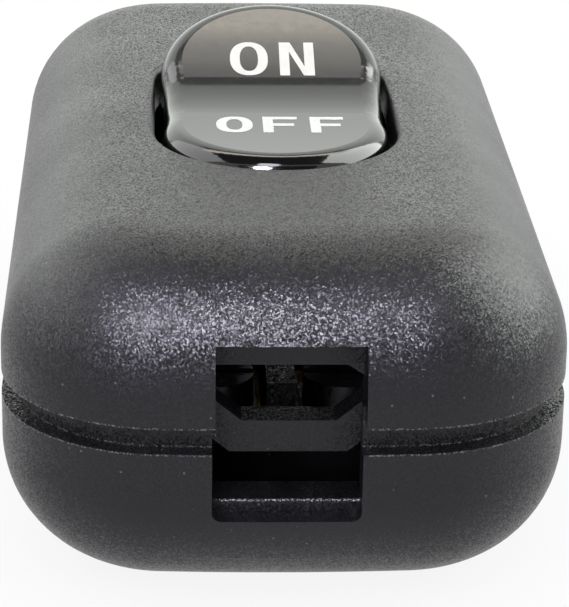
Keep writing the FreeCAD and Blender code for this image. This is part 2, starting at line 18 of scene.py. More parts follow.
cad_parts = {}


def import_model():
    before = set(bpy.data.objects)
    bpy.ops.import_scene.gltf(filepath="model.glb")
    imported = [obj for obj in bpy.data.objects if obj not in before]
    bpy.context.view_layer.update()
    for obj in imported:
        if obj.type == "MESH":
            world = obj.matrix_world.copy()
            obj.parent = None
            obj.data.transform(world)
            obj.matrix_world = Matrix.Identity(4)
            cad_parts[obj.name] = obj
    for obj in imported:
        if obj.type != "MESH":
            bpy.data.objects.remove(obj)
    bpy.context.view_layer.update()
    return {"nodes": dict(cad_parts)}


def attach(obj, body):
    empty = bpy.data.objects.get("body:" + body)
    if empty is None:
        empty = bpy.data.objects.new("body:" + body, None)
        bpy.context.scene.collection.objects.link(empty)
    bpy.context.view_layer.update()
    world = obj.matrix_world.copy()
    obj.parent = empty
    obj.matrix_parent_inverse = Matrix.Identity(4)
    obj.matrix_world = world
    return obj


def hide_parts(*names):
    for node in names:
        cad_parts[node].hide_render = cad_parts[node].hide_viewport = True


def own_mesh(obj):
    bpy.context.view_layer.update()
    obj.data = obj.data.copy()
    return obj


log = logging.getLogger("cord_switch")

MM = 0.001
IMAGE_WIDTH = 569
IMAGE_HEIGHT = 607
# Height of the rocker's axis over the underside
PIVOT_MM = 15.0
# The range that a noise texture fills for the most part
NOISE_LOW, NOISE_HIGH = 0.3, 0.7
# Sockets of a Mix node on colours: its share, its two colours and its result
MIX_SHARE, MIX_FIRST, MIX_SECOND, MIX_RESULT = 0, 6, 7, 2


def linear(code: str) -> tuple[float, float, float, float]:
    """Turn an sRGB hex colour into the linear colour that a shader takes.

    Args:
        code: Six hex digits, such as "1c1c1e".

    Returns:
        Red, green, blue and an alpha of 1. Each channel c is c/12.92 below 0.04045 and
        ((c + 0.055)/1.055) to the power 2.4 above it.
    """
    channels = np.array([int(code[at:at + 2], 16) for at in (0, 2, 4)]) / 255.0
    low = channels / 12.92
    high = ((channels + 0.055) / 1.055) ** 2.4
    red, green, blue = np.where(channels <= 0.04045, low, high).tolist()
    return red, green, blue, 1.0


def add_node(tree: bpy.types.NodeTree, kind: str, settings: dict | None = None,
             links: dict | None = None) -> bpy.types.Node:
    """Add one node with its settings and its incoming links.

    Args:
        tree: The node tree that gets the node.
        kind: The node's type name.
        settings: Attribute names, or input names or numbers, with their values.
        links: Input names or numbers with the output socket that feeds each.

    Returns:
        The new node.
    """
    node = tree.nodes.new(kind)
    for key, value in (settings or {}).items():
        if isinstance(key, str) and hasattr(node, key):
            setattr(node, key, value)
        else:
            node.inputs[key].default_value = value
    for key, socket in (links or {}).items():
        tree.links.new(socket, node.inputs[key])
    return node


def new_material(name: str) -> tuple[bpy.types.Material, bpy.types.NodeTree, bpy.types.Node]:
    """Make a material whose tree holds only a Texture Coordinate node.

    Args:
        name: The material's name.

    Returns:
        The material, its node tree and its Texture Coordinate node.
    """
    material = bpy.data.materials.new(name)
    material.use_nodes = True
    tree = material.node_tree
    tree.nodes.clear()
    place = add_node(tree, "ShaderNodeTexCoord")
    return material, tree, place


def per_metre(size_mm: float) -> float:
    """Scale of a pattern whose cells are size_mm wide, for coordinates in metres."""
    return 1.0 / (size_mm * MM)


def superellipse(bulge: float, steps: int) -> np.ndarray:
    """Outline of a superellipse that reaches 1 from its middle, across and up.

    Args:
        bulge: 2 for a circle, and more for an outline nearer to a square.
        steps: Number of points.

    Returns:
        Rows of (across, up), counter-clockwise. The point at angle a lies at the signed
        power 2/bulge of cos a across, and at that of sin a up.
    """
    a = np.linspace(0.0, 2 * math.pi, steps, endpoint=False)
    across = np.sign(np.cos(a)) * np.abs(np.cos(a)) ** (2 / bulge)
    up = np.sign(np.sin(a)) * np.abs(np.sin(a)) ** (2 / bulge)
    return np.stack([across, up], axis=1)


@dataclass(frozen=True)
class GrainedAbs:
    """ABS moulded in a spark-eroded tool: matte, with fine facets that glitter in the light.

    The eroded grain of such tools is about 0.1 mm across. Each grain is a facet with its
    own small tilt, so a highlight breaks up into bright specks. The facets shade one
    another, so the surface mirrors less than a smooth one. They lie steeper on the flats
    than on the walls and bends. Pale specks painted into the colour stand in for glints of
    the grain, and the rims beside the groove get a painted highlight in flecks.
    """

    name: str = "abs_spark_eroded"
    colour: str = "0a0a0d"
    pale_colour: str = "1e1e25"
    # Colour of the painted glints and of the painted highlight on the groove's rims
    painted_glint_colour: str = "626265"
    roughness_low: float = 0.32
    roughness_high: float = 0.4
    ior: float = 1.54
    specular: float = 0.27
    grain_mm: float = 0.075
    tilt: float = 0.38
    flat_tilt: float = 0.66
    flat_facing: float = 0.9
    cloud_mm: float = 6.0
    speck_mm: float = 1.1
    speck_core: float = 0.04
    speck_edge: float = 0.07
    speck_share: float = 0.8
    rim_heights_mm: tuple[float, ...] = (9.25, 10.6)
    rim_width_mm: float = 0.1
    rim_start_mm: float = 3.7
    fleck_low: float = 0.6
    fleck_high: float = 0.8
    wall_slant: float = 0.5

    def build(self) -> bpy.types.Material:
        """Build the material's nodes.

        Returns:
            The finished material.
        """
        material, tree, place = new_material(self.name)
        at = place.outputs["Object"]
        grain = add_node(tree, "ShaderNodeTexVoronoi",
                         {"Scale": per_metre(self.grain_mm), "Randomness": 1.0}, {"Vector": at})
        chance = add_node(tree, "ShaderNodeSeparateColor", {}, {"Color": grain.outputs["Color"]})
        clouds = add_node(tree, "ShaderNodeTexNoise",
                          {"Scale": per_metre(self.cloud_mm), "Detail": 4.0}, {"Vector": at})
        rough = add_node(tree, "ShaderNodeMapRange",
                         {"From Min": NOISE_LOW, "From Max": NOISE_HIGH,
                          "To Min": self.roughness_low, "To Max": self.roughness_high},
                         {"Value": clouds.outputs["Fac"]})
        tint = add_node(tree, "ShaderNodeMix",
                        {"data_type": "RGBA", MIX_FIRST: linear(self.colour),
                         MIX_SECOND: linear(self.pale_colour)},
                        {MIX_SHARE: chance.outputs["Blue"]})
        # Painted glints: pale specks in the base colour stand in for the sparkle of the grain in
        # the light
        specks = add_node(tree, "ShaderNodeTexVoronoi",
                          {"Scale": per_metre(self.speck_mm), "Randomness": 1.0}, {"Vector": at})
        painted_glint = add_node(tree, "ShaderNodeMapRange",
                         {"From Min": self.speck_core, "From Max": self.speck_edge,
                          "To Min": self.speck_share, "To Max": 0.0},
                         {"Value": specks.outputs["Distance"]})
        # Painted highlight: pale flecks on the rims beside the groove, where the edges catch the
        # light
        painted_rim_highlight = self.rim_highlight_mask(tree, at, chance.outputs["Green"])
        painted_light = add_node(tree, "ShaderNodeMath", {"operation": "MAXIMUM"},
                         {0: painted_rim_highlight, 1: painted_glint.outputs["Result"]})
        # The base colour takes the painted glints and the painted rim highlight
        colour = add_node(tree, "ShaderNodeMix",
                          {"data_type": "RGBA", MIX_SECOND: linear(self.painted_glint_colour)},
                          {MIX_SHARE: painted_light.outputs[0], MIX_FIRST: tint.outputs[MIX_RESULT]})
        shader = add_node(tree, "ShaderNodeBsdfPrincipled",
                          {"IOR": self.ior, "Specular IOR Level": self.specular},
                          {"Base Color": colour.outputs[MIX_RESULT],
                           "Roughness": rough.outputs["Result"],
                           "Normal": self.facets(tree, grain.outputs["Color"])})
        add_node(tree, "ShaderNodeOutputMaterial", {}, {"Surface": shader.outputs["BSDF"]})
        return material

    def facets(self, tree: bpy.types.NodeTree,
               chance: bpy.types.NodeSocket) -> bpy.types.NodeSocket:
        """Normal of the grain's facets.

        Args:
            tree: The material's node tree.
            chance: The socket of the random colour of each grain.

        Returns:
            A socket with the unit vector along n + k (c - 0.5), for the surface's normal n
            and the grain's random colour c. The factor k is tilt on the walls and bends, and
            rises to flat_tilt on the flats as the upward part of n goes from flat_facing
            to 1.
        """
        shape = add_node(tree, "ShaderNodeNewGeometry")
        facing = add_node(tree, "ShaderNodeSeparateXYZ", {}, {"Vector": shape.outputs["Normal"]})
        steep = add_node(tree, "ShaderNodeMapRange",
                         {"From Min": self.flat_facing, "From Max": 1.0,
                          "To Min": self.tilt, "To Max": self.flat_tilt},
                         {"Value": facing.outputs["Z"]})
        off = add_node(tree, "ShaderNodeVectorMath", {"operation": "SUBTRACT", 1: (0.5, 0.5, 0.5)},
                       {0: chance})
        tilted = add_node(tree, "ShaderNodeVectorMath", {"operation": "SCALE"},
                          {0: off.outputs[0], "Scale": steep.outputs["Result"]})
        total = add_node(tree, "ShaderNodeVectorMath", {"operation": "ADD"},
                         {0: shape.outputs["Normal"], 1: tilted.outputs[0]})
        return add_node(tree, "ShaderNodeVectorMath", {"operation": "NORMALIZE"},
                        {0: total.outputs[0]}).outputs[0]

    def rim_highlight_mask(self, tree: bpy.types.NodeTree, place: bpy.types.NodeSocket,
                 grain: bpy.types.NodeSocket) -> bpy.types.NodeSocket:
        """Mask of the painted highlight on the rims beside the parting groove.

        Args:
            tree: The material's node tree.
            place: The socket that gives the point in metres.
            grain: The socket of the grain that breaks the rims up.

        Returns:
            A socket that is 1 on a painted highlight fleck of a rim and 0 elsewhere: the point is
            within rim_width_mm of a rim's height and further than rim_start_mm from the
            middle plane, so beside the cord's window; it lies on an upright wall, and the
            grain there is above fleck_low, in full above fleck_high.
        """
        height = add_node(tree, "ShaderNodeSeparateXYZ", {}, {"Vector": place})
        shape = add_node(tree, "ShaderNodeNewGeometry")
        facing = add_node(tree, "ShaderNodeSeparateXYZ", {}, {"Vector": shape.outputs["Normal"]})
        upright = add_node(tree, "ShaderNodeMath",
                           {"operation": "COMPARE", 1: 0.0, 2: self.wall_slant},
                           {0: facing.outputs["Z"]})
        flecks = add_node(tree, "ShaderNodeMapRange",
                          {"From Min": self.fleck_low, "From Max": self.fleck_high},
                          {"Value": grain})
        across = add_node(tree, "ShaderNodeMath", {"operation": "ABSOLUTE"},
                          {0: height.outputs["X"]})
        beside = add_node(tree, "ShaderNodeMath",
                          {"operation": "GREATER_THAN", 1: self.rim_start_mm * MM},
                          {0: across.outputs[0]})
        wall = add_node(tree, "ShaderNodeMath", {"operation": "MULTIPLY"},
                        {0: upright.outputs[0], 1: beside.outputs[0]})
        total = add_node(tree, "ShaderNodeMath", {"operation": "MULTIPLY"},
                         {0: wall.outputs[0], 1: flecks.outputs["Result"]})
        rims = None
        for rim in self.rim_heights_mm:
            near = add_node(tree, "ShaderNodeMath",
                            {"operation": "COMPARE", 1: rim * MM, 2: self.rim_width_mm * MM},
                            {0: height.outputs["Z"]})
            if rims is None:
                rims = near
            else:
                rims = add_node(tree, "ShaderNodeMath", {"operation": "MAXIMUM"},
                                {0: rims.outputs[0], 1: near.outputs[0]})
        return add_node(tree, "ShaderNodeMath", {"operation": "MULTIPLY"},
                        {0: total.outputs[0], 1: rims.outputs[0]}).outputs[0]


@dataclass(frozen=True)
class PolishedAbs:
    """ABS moulded in a polished tool: a black mirror with faint waviness and hairline rubs."""

    name: str = "abs_polished"
    colour: str = "0c0c0d"
    roughness_low: float = 0.06
    roughness_high: float = 0.12
    ior: float = 1.54
    wave_mm: float = 2.5
    wave_depth_mm: float = 0.0004
    rub_mm: float = 0.7
    rub_low: float = 0.35
    rub_high: float = 0.7

    def build(self) -> bpy.types.Material:
        """Build the material's nodes.

        Returns:
            The finished material.
        """
        material, tree, place = new_material(self.name)
        at = place.outputs["Object"]
        waves = add_node(tree, "ShaderNodeTexNoise",
                         {"Scale": per_metre(self.wave_mm), "Detail": 2.0}, {"Vector": at})
        rubs = add_node(tree, "ShaderNodeTexNoise",
                        {"Scale": per_metre(self.rub_mm), "Detail": 5.0, "Roughness": 0.7},
                        {"Vector": at})
        rough = add_node(tree, "ShaderNodeMapRange",
                         {"From Min": self.rub_low, "From Max": self.rub_high,
                          "To Min": self.roughness_low, "To Max": self.roughness_high},
                         {"Value": rubs.outputs["Fac"]})
        bump = add_node(tree, "ShaderNodeBump",
                        {"Strength": 1.0, "Distance": self.wave_depth_mm * MM},
                        {"Height": waves.outputs["Fac"]})
        shader = add_node(tree, "ShaderNodeBsdfPrincipled",
                          {"Base Color": linear(self.colour), "IOR": self.ior},
                          {"Roughness": rough.outputs["Result"], "Normal": bump.outputs["Normal"]})
        add_node(tree, "ShaderNodeOutputMaterial", {}, {"Surface": shader.outputs["BSDF"]})
        return material


@dataclass(frozen=True)
class PlainPolymer:
    """A moulded or printed plastic surface with a little mottling and a fine orange peel."""

    name: str
    colour: str
    shade: str
    roughness: float
    mottle_mm: float
    peel_mm: float
    peel_depth_mm: float
    ior: float = 1.5

    def build(self) -> bpy.types.Material:
        """Build the material's nodes.

        Returns:
            The finished material.
        """
        material, tree, place = new_material(self.name)
        at = place.outputs["Object"]
        mottle = add_node(tree, "ShaderNodeTexNoise",
                          {"Scale": per_metre(self.mottle_mm), "Detail": 3.0}, {"Vector": at})
        colour = add_node(tree, "ShaderNodeMix",
                          {"data_type": "RGBA", MIX_FIRST: linear(self.colour),
                           MIX_SECOND: linear(self.shade)},
                          {MIX_SHARE: mottle.outputs["Fac"]})
        peel = add_node(tree, "ShaderNodeTexNoise",
                        {"Scale": per_metre(self.peel_mm), "Detail": 2.0}, {"Vector": at})
        bump = add_node(tree, "ShaderNodeBump",
                        {"Strength": 1.0, "Distance": self.peel_depth_mm * MM},
                        {"Height": peel.outputs["Fac"]})
        shader = add_node(tree, "ShaderNodeBsdfPrincipled",
                          {"Roughness": self.roughness, "IOR": self.ior},
                          {"Base Color": colour.outputs[MIX_RESULT],
                           "Normal": bump.outputs["Normal"]})
        add_node(tree, "ShaderNodeOutputMaterial", {}, {"Surface": shader.outputs["BSDF"]})
        return material


@dataclass(frozen=True)
class WorkedMetal:
    """A metal with the marks of how it was made, as stretched scratches, and light tarnish.

    The roughness varies with the marks. The factors of stretch scale their pattern along
    x, y and z: below 1 it is drawn out that way.
    """

    name: str
    colour: str
    tarnish: str
    roughness_low: float
    roughness_high: float
    mark_mm: float
    stretch: tuple[float, float, float]
    mark_depth_mm: float = 0.003
    tarnish_mm: float = 2.0

    def build(self) -> bpy.types.Material:
        """Build the material's nodes.

        Returns:
            The finished material.
        """
        material, tree, place = new_material(self.name)
        at = place.outputs["Object"]
        drawn = add_node(tree, "ShaderNodeMapping", {"Scale": self.stretch}, {"Vector": at})
        marks = add_node(tree, "ShaderNodeTexNoise",
                         {"Scale": per_metre(self.mark_mm), "Detail": 4.0},
                         {"Vector": drawn.outputs["Vector"]})
        stain = add_node(tree, "ShaderNodeTexNoise",
                         {"Scale": per_metre(self.tarnish_mm), "Detail": 3.0}, {"Vector": at})
        colour = add_node(tree, "ShaderNodeMix",
                          {"data_type": "RGBA", MIX_FIRST: linear(self.colour),
                           MIX_SECOND: linear(self.tarnish)},
                          {MIX_SHARE: stain.outputs["Fac"]})
        rough = add_node(tree, "ShaderNodeMapRange",
                         {"From Min": NOISE_LOW, "From Max": NOISE_HIGH,
                          "To Min": self.roughness_low, "To Max": self.roughness_high},
                         {"Value": marks.outputs["Fac"]})
        bump = add_node(tree, "ShaderNodeBump",
                        {"Strength": 1.0, "Distance": self.mark_depth_mm * MM},
                        {"Height": marks.outputs["Fac"]})
        shader = add_node(tree, "ShaderNodeBsdfPrincipled", {"Metallic": 1.0},
                          {"Base Color": colour.outputs[MIX_RESULT],
                           "Roughness": rough.outputs["Result"],
                           "Normal": bump.outputs["Normal"]})
        add_node(tree, "ShaderNodeOutputMaterial", {}, {"Surface": shader.outputs["BSDF"]})
        return material


# Acetal, natural white: waxy, faintly yellow, slides without grease
ACETAL = PlainPolymer("acetal_natural", "e6e2d4", "d8d2c0", 0.35, 2.0, 0.3, 0.002)
# Pad-printed ink: an opaque white film a few hundredths of a millimetre thick, softly rough
PRINT_INK = PlainPolymer("pad_print_white", "f2f2f0", "e4e4e2", 0.4, 1.0, 0.12, 0.004)
# Hard-drawn spring wire: grey, with marks along the wire
SPRING_WIRE = WorkedMetal("steel_spring_wire", "a7a8aa", "7d7c7a", 0.22, 0.38, 0.2, (1.0, 1.0, 0.2))
# Phosphor bronze strip: rolled lengthwise, warm red-brown
BRONZE = WorkedMetal("phosphor_bronze_rolled", "c98f5f", "a06c46", 0.2, 0.36, 0.15,
                     (1.0, 0.08, 1.0))
# Silver alloy rivet: pale and satin, greyed where it has sparked
SILVER = WorkedMetal("silver_alloy_rivet", "dcdad5", "a9a49c", 0.22, 0.42, 0.25, (1.0, 1.0, 1.0))
# Stamped brass strip: yellow, rolled lengthwise
BRASS = WorkedMetal("brass_stamped_strip", "d2ae66", "a8854a", 0.22, 0.38, 0.15, (1.0, 0.08, 1.0))
# Zinc-plated steel: cool and slightly cloudy, turned round its axis
ZINC_STEEL = WorkedMetal("steel_zinc_plated", "b9bcc0", "94979c", 0.25, 0.42, 0.3, (1.0, 1.0, 0.3))


def dress(node: str, material: bpy.types.Material) -> None:
    """Give every material slot of a CAD node one material.

    Args:
        node: The node's name.
        material: The finish that it gets.
    """
    thing = bpy.data.objects[node]
    if not thing.data.materials:
        thing.data.materials.append(material)
    for slot in thing.material_slots:
        slot.material = material
    log.info("%s dressed in %s", node, material.name)


def mesh_piece(name: str, points: np.ndarray, faces: list[list[int]],
               material: bpy.types.Material) -> bpy.types.Object:
    """Make an object at the origin from points and faces.

    Args:
        name: The piece's name.
        points: An array of points in metres, one row each.
        faces: Lists of point numbers, each counter-clockwise from outside.
        material: The piece's finish.

    Returns:
        The new object.
    """
    mesh = bpy.data.meshes.new(name)
    mesh.from_pydata(points.tolist(), [], faces)
    mesh.validate()
    mesh.materials.append(material)
    thing = bpy.data.objects.new(name, mesh)
    bpy.context.scene.collection.objects.link(thing)
    return thing


class Legend(Enum):
    """The two words on the rocker."""

    ON = "ON"
    OFF = "OFF"


@dataclass
class Lettering:
    """One printed legend: flat letters of even stroke, raised by the ink's thickness.

    Each letter is a closed outline in a plane. Its corners are rounded by a parabola
    between two points beside the corner, and the O is a ring between two superellipses.
    The N's diagonal is diagonal_width strokes wide where it ends, and its edges meet the
    uprights at diagonal_foot and diagonal_head of the height. The F's lower arm has its
    upper edge at arm_height of the height and reaches over arm_reach of the width.
    """

    legend: Legend
    left_edges_mm: tuple[float, ...]
    right_edges_mm: tuple[float, ...]
    foot_mm: float
    cap_mm: float
    stroke_mm: float = 0.58
    arm_mm: float = 0.42
    diagonal_width: float = 1.12
    diagonal_foot: float = 0.27
    diagonal_head: float = 0.73
    arm_reach: float = 0.9
    arm_height: float = 0.58
    corner_mm: float = 0.06
    ink_mm: float = 0.03
    sink_mm: float = 0.012
    bulge: float = 2.3
    ring_steps: int = 48
    corner_steps: int = 4

    def rounded(self, corners: np.ndarray) -> np.ndarray:
        """Round the corners of an outline.

        Args:
            corners: The outline's corners in millimetres, one row each.

        Returns:
            The rounded outline. Near a corner V, between A before it and B after it, the
            point at t is (1-t)^2 A + 2 t (1-t) V + t^2 B.
        """
        before = np.roll(corners, 1, axis=0) - corners
        after = np.roll(corners, -1, axis=0) - corners
        before /= np.linalg.norm(before, axis=1, keepdims=True)
        after /= np.linalg.norm(after, axis=1, keepdims=True)
        start = corners + before * self.corner_mm
        end = corners + after * self.corner_mm
        t = np.linspace(0.0, 1.0, self.corner_steps)[None, :, None]
        curve = ((1 - t) ** 2 * start[:, None] + 2 * t * (1 - t) * corners[:, None]
                 + t ** 2 * end[:, None])
        return curve.reshape(-1, 2)

    def outline_n(self, left: float, right: float, tall: float) -> np.ndarray:
        """Outline of an N.

        Args:
            left: Left side in millimetres.
            right: Right side in millimetres.
            tall: Height in millimetres.

        Returns:
            Its corners as rows of (across, up), clockwise: up the left side, down the
            diagonal's upper edge, round the right upright and back up the lower edge.
        """
        s = self.stroke_mm
        d = s * self.diagonal_width
        return np.array([
            (left, 0.0), (left, tall), (left + d, tall),
            (right - s, tall * self.diagonal_foot),
            (right - s, tall), (right, tall), (right, 0.0), (right - d, 0.0),
            (left + s, tall * self.diagonal_head), (left + s, 0.0),
        ])

    def outline_f(self, left: float, right: float, tall: float) -> np.ndarray:
        """Outline of an F.

        Args:
            left: Left side in millimetres.
            right: Right side in millimetres.
            tall: Height in millimetres.

        Returns:
            Its corners as rows of (across, up), clockwise: up the left side, round the
            upper arm, then the lower arm, and down the upright's inner side.
        """
        s = self.stroke_mm
        a = self.arm_mm
        arm = left + (right - left) * self.arm_reach
        mid = tall * self.arm_height
        return np.array([
            (left, 0.0), (left, tall), (right, tall), (right, tall - a),
            (left + s, tall - a), (left + s, mid), (arm, mid),
            (arm, mid - a), (left + s, mid - a), (left + s, 0.0),
        ])

    def ring(self, left: float, right: float, tall: float) -> tuple[np.ndarray, np.ndarray]:
        """Outer and inner outlines of an O.

        Args:
            left: Left side in millimetres.
            right: Right side in millimetres.
            tall: Height in millimetres.

        Returns:
            Two superellipses of the same bulge about one middle. The inner one is less
            wide by a stroke at each side, and less tall by an arm at the top and bottom.
        """
        centre = np.array([(left + right) / 2, tall / 2])
        half = np.array([(right - left) / 2, tall / 2])
        unit = superellipse(self.bulge, self.ring_steps)
        band = np.array([self.stroke_mm, self.arm_mm])
        return centre + unit * half, centre + unit * (half - band)

    def build(self, face: "DishedFace", material: bpy.types.Material) -> bpy.types.Object:
        """Build the legend as one mesh.

        Args:
            face: The face that it is printed on.
            material: The ink.

        Returns:
            The legend's object.
        """
        points: list[np.ndarray] = []
        faces: list[list[int]] = []
        count = 0
        for letter, left, right in zip(self.legend.value, self.left_edges_mm, self.right_edges_mm):
            if letter == "O":
                outer, inner = self.ring(left, right, self.cap_mm)
                layers = np.concatenate([outer, inner])
                n = len(outer)
                at = np.arange(n)
                ahead = np.roll(at, -1)
                top = 2 * n
                quads = [(at, ahead, ahead + top, at + top),
                         (ahead + n, at + n, at + n + top, ahead + n + top),
                         (at + top, ahead + top, ahead + n + top, at + n + top),
                         (ahead, at, at + n, ahead + n)]
                for quad in quads:
                    faces.extend((np.stack(quad, axis=1) + count).tolist())
            else:
                maker = self.outline_n if letter == "N" else self.outline_f
                layers = self.rounded(maker(left, right, self.cap_mm))[::-1]
                n = len(layers)
                at = np.arange(n)
                ahead = np.roll(at, -1)
                faces.extend((np.stack([at, ahead, ahead + n, at + n], axis=1) + count).tolist())
                faces.append((at + n + count).tolist())
                faces.append((at[::-1] + count).tolist())
            low = np.column_stack([layers, np.full(len(layers), -self.sink_mm)])
            high = np.column_stack([layers, np.full(len(layers), self.ink_mm - self.sink_mm)])
            points.append(np.concatenate([low, high]))
            count += 2 * len(layers)
        local = np.concatenate(points)
        local[:, 1] += self.foot_mm
        return mesh_piece("legend_" + self.legend.name.lower(), face.place(local), faces, material)


@dataclass(frozen=True)
class DishedFace:
    """One face of the rocker: a shallow round dish across the line of travel.

    The face is drawn about the rocker's axis. Along its mean slope it is an arc of radius
    radius_mm that comes nearest to the axis, low_mm away, at middle_mm along.
    """

    slope_deg: float
    middle_mm: float
    pivot_mm: float = PIVOT_MM
    low_mm: float = 4.319
    radius_mm: float = 148.0

    def place(self, local: np.ndarray) -> np.ndarray:
        """Lay points on the face.

        Args:
            local: Rows of (across, along, out) in millimetres, out from the dish itself.

        Returns:
            Rows of x, y, z in metres. The dish lies R - sqrt(R^2 - (s - m)^2) above its
            lowest line at the distance s along, for radius R and middle m. The rows are
            then turned by the slope about the axis.
        """
        across, along, out = local.T
        off = along - self.middle_mm
        rise = out + self.low_mm + self.radius_mm - np.sqrt(self.radius_mm ** 2 - off ** 2)
        slope = math.radians(self.slope_deg)
        y = along * math.cos(slope) - rise * math.sin(slope)
        z = along * math.sin(slope) + rise * math.cos(slope) + self.pivot_mm
        return np.stack([across, y, z], axis=1) * MM


@dataclass
class Rocker:
    """The polished rocker and its two printed legends.

    At rest the near face is level and the far one rises by the whole travel.
    """

    travel_deg: float = 20.0
    middle_mm: float = 8.204
    on: Lettering = field(default_factory=lambda: Lettering(
        Legend.ON, (-2.46, 0.47), (-0.22, 2.52), 3.24, 3.34))
    off: Lettering = field(default_factory=lambda: Lettering(
        Legend.OFF, (-3.42, -0.77, 1.92), (-1.35, 1.2, 3.84), -6.43, 2.67))

    def build(self, plastic: bpy.types.Material, ink: bpy.types.Material) -> None:
        """Dress the rocker and print its legends.

        Args:
            plastic: The rocker's finish.
            ink: The legends' finish.
        """
        dress("rocker", plastic)
        far = DishedFace(self.travel_deg, self.middle_mm)
        near = DishedFace(0.0, -self.middle_mm)
        for lettering, face in ((self.on, far), (self.off, near)):
            piece = lettering.build(face, ink)
            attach(piece, "rocker")
            log.info("legend %s printed", lettering.legend.value)


@dataclass
class Housing:
    """The two half shells and the screws that close them."""

    shells: tuple[str, ...] = ("upper_shell", "lower_shell")
    screws: tuple[str, ...] = ("housing_screw_front", "housing_screw_rear")

    def build(self, plastic: bpy.types.Material, steel: bpy.types.Material) -> None:
        """Dress the shells and screws.

        Args:
            plastic: The shells' finish.
            steel: The screws' finish.
        """
        for node in self.shells:
            dress(node, plastic)
        for node in self.screws:
            dress(node, steel)


@dataclass(frozen=True)
class PlungerSpring:
    """A plunger's coil spring, which shortens as the plunger slides into the rocker.

    The piece is a copy of the CAD spring's mesh with its loose triangles merged. The seat
    that it shortens towards lies on the plunger's axis, seat_mm from the rocker's axis, and
    the plunger's axis leans by lean_deg. The plunger travels travel_mm.
    """

    side: str
    across_mm: float
    pivot_mm: float = PIVOT_MM
    seat_mm: float = 2.0
    lean_deg: float = 10.0
    travel_mm: float = 0.8
    merge_mm: float = 0.0001

    def build(self, steel: bpy.types.Material) -> None:
        """Copy the spring and let it ride on the rocker.

        Args:
            steel: The wire's finish.
        """
        solid = bpy.data.objects[f"plunger_spring_{self.side}"]
        mesh = solid.data.copy()
        mesh.transform(solid.matrix_world)
        work = bmesh.new()
        work.from_mesh(mesh)
        bmesh.ops.remove_doubles(work, verts=work.verts, dist=self.merge_mm * MM)
        work.to_mesh(mesh)
        work.free()
        mesh.materials.clear()
        mesh.materials.append(steel)
        points = np.empty(3 * len(mesh.vertices), dtype=np.float32)
        mesh.vertices.foreach_get("co", points)
        piece = bpy.data.objects.new(f"coil_spring_{self.side}", mesh)
        bpy.context.scene.collection.objects.link(piece)
        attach(piece, "rocker")
        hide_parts(solid.name)
        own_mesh(piece)


@dataclass
class Mechanism:
    """The inner pieces of the two poles."""

    sides: tuple[str, ...] = ("left", "right")
    ends: tuple[str, ...] = ("front", "rear")
    springs: tuple[PlungerSpring, ...] = (
        PlungerSpring("left", -3.75), PlungerSpring("right", 3.75))

    def build(self) -> None:
        """Dress each inner piece in the finish of its kind and set the springs."""
        wire = SPRING_WIRE.build()
        for spring in self.springs:
            spring.build(wire)
        finishes = {
            "plunger": ACETAL.build(),
            "contact_blade": BRONZE.build(),
            "moving_contact": SILVER.build(),
            "fixed_terminal": BRASS.build(),
        }
        finishes["fixed_contact"] = finishes["moving_contact"]
        finishes["pivot_terminal"] = finishes["fixed_terminal"]
        steel = ZINC_STEEL.build()
        for side in self.sides:
            for kind, finish in finishes.items():
                dress(f"{kind}_{side}", finish)
            for end in self.ends:
                dress(f"terminal_screw_{side}_{end}", steel)
                dress(f"clamp_plate_{side}_{end}", steel)


@dataclass(frozen=True)
class Softbox:
    """A glowing sheet that faces the switch, with a level that runs evenly up its height.

    The level is low at the foot and high at the top. The outline is a superellipse: nearly
    a rectangle for a high bulge, an ellipse for 2. The sheet is only mirrored; matte
    surfaces get the even fill of the world in its stead.
    """

    name: str
    azimuth_deg: float
    elevation_deg: float
    distance_mm: float
    size_mm: tuple[float, float]
    low: float
    high: float
    colour: str = "ffffff"
    bulge: float = 12.0
    steps: int = 64

    def build(self) -> None:
        """Hang the sheet; azimuth runs from +Y towards +X, elevation up from the floor."""
        azimuth, elevation = math.radians(self.azimuth_deg), math.radians(self.elevation_deg)
        away = Vector((math.sin(azimuth) * math.cos(elevation),
                       math.cos(azimuth) * math.cos(elevation), math.sin(elevation)))
        material, tree, place = new_material(self.name)
        up = add_node(tree, "ShaderNodeSeparateXYZ", {}, {"Vector": place.outputs["Object"]})
        half_width, half_height = self.size_mm[0] * MM / 2, self.size_mm[1] * MM / 2
        level = add_node(tree, "ShaderNodeMapRange",
                         {"From Min": -half_height, "From Max": half_height,
                          "To Min": self.low, "To Max": self.high}, {"Value": up.outputs["Y"]})
        glow = add_node(tree, "ShaderNodeEmission", {"Color": linear(self.colour)},
                        {"Strength": level.outputs["Result"]})
        add_node(tree, "ShaderNodeOutputMaterial", {}, {"Surface": glow.outputs[0]})
        outline = superellipse(self.bulge, self.steps) * (half_width, half_height)
        sheet = mesh_piece(self.name, np.column_stack([outline, np.zeros(self.steps)]),
                           [list(range(self.steps))], material)
        turn = (-away).to_track_quat("Z", "Y").to_matrix().to_4x4()
        sheet.matrix_world = Matrix.Translation(away * self.distance_mm * MM) @ turn
        sheet.visible_camera = False
        sheet.visible_diffuse = False


